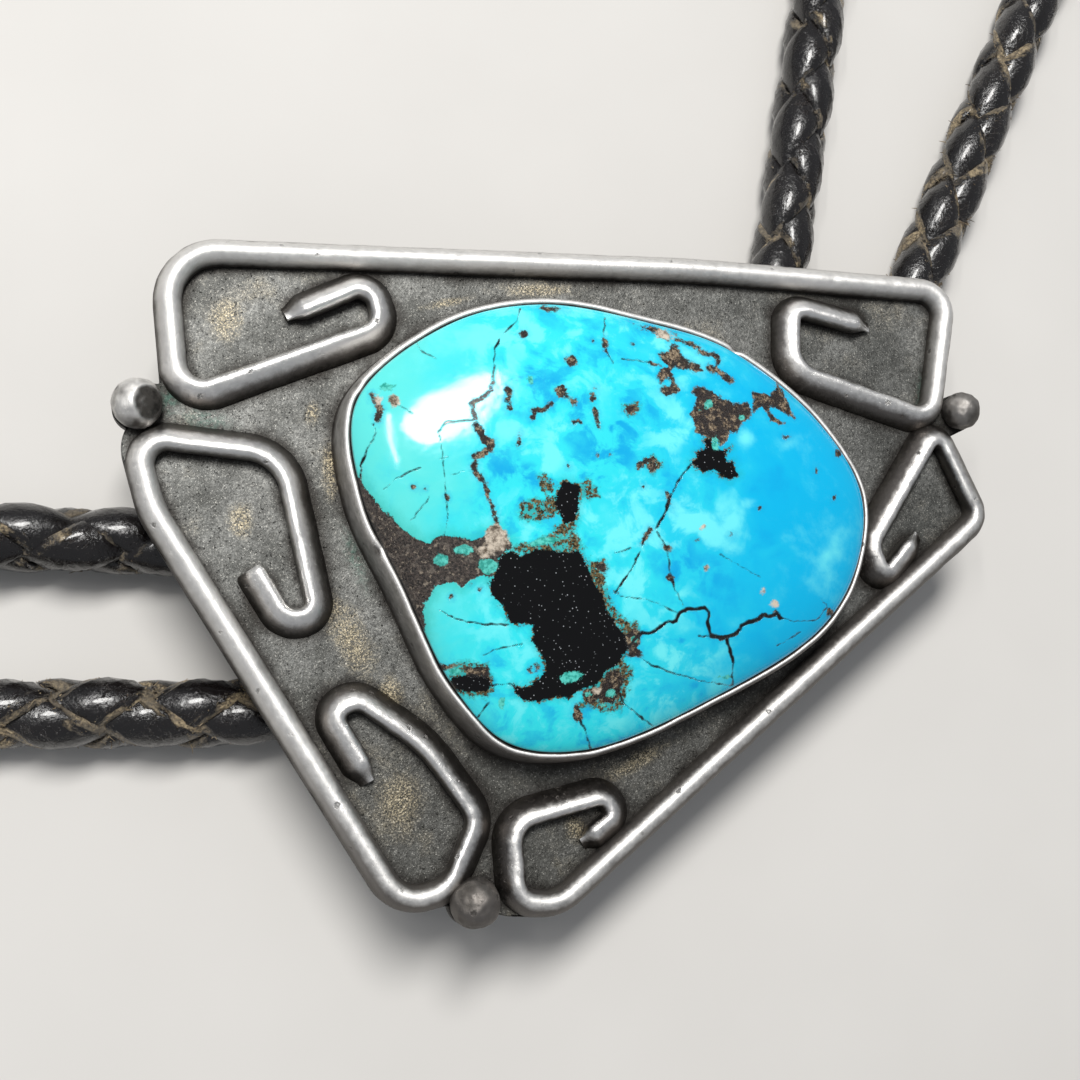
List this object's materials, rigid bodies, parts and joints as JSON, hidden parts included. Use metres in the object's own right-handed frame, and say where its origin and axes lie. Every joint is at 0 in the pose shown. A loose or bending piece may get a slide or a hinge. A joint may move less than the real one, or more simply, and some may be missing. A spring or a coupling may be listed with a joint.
{
  "type": "bolo tie",
  "caption": "Bolo tie laid on a surface: a silver slide with a domed turquoise cabochon and looped edge wires on a braided leather neck cord.",
  "frame": {"origin": "on the surface that the tie lies on, under the middle of the slide's own box, the cord and its tips left out", "axes": "+Z out of the slide's face, +X along the slide's length towards its narrow corner, +Y up the slide towards its long top edge"},
  "size_m": [0.1567, 0.1309, 0.0169],
  "materials": {
    "oxidised_silver": "worn silver, bright on the wires' ridges, dark with tarnish on the plate",
    "turquoise": "polished turquoise with black and brown matrix",
    "nickel_clasp": "plain brushed nickel plate",
    "braided_leather": "glossy black-brown leather laces with raw tan edges",
    "polished_tips": "plain polished metal"
  },
  "bodies": {
    "root": {"silver_setting": "oxidised_silver", "turquoise_stone": "turquoise", "back_clasp": "nickel_clasp", "braided_cord": "braided_leather", "cord_tip_upper": "polished_tips", "cord_tip_lower": "polished_tips"}
  },
  "joints": []
}
